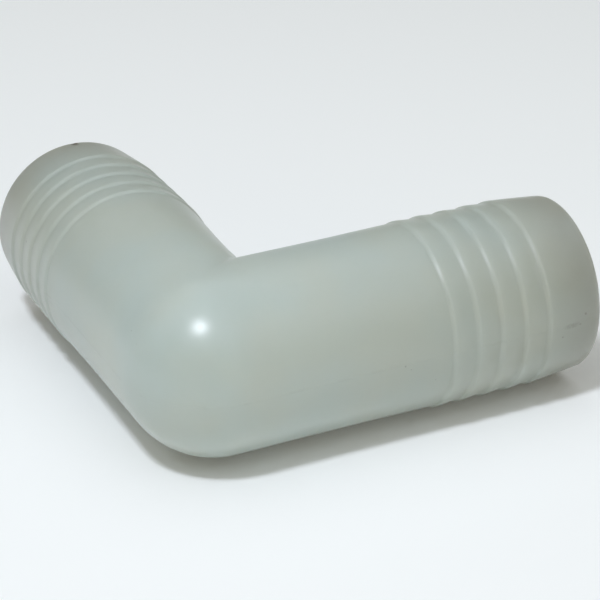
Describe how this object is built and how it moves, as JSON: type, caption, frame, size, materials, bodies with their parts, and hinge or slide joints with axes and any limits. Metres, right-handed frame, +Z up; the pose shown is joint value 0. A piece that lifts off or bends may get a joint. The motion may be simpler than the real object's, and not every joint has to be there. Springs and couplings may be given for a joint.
{
  "type": "barbed hose elbow",
  "caption": "One-piece moulded elbow that joins two hoses of the same bore at a right angle, with a plain barrel and a barbed tail on each leg.",
  "frame": {"origin": "centre of the elbow's footprint, on the surface that it lies on; the two axes cross 29.45 mm from it towards -X and towards -Y, 19.5 mm up", "axes": "+X along one leg towards its mouth, +Y along the other leg towards its mouth, +Z up"},
  "size_m": [0.0979, 0.0979, 0.039],
  "materials": {
    "natural_nylon": "undyed nylon, milky and slightly translucent, as moulded with a soft satin gloss"
  },
  "bodies": {
    "root": {"elbow_body": "natural_nylon"}
  },
  "joints": []
}
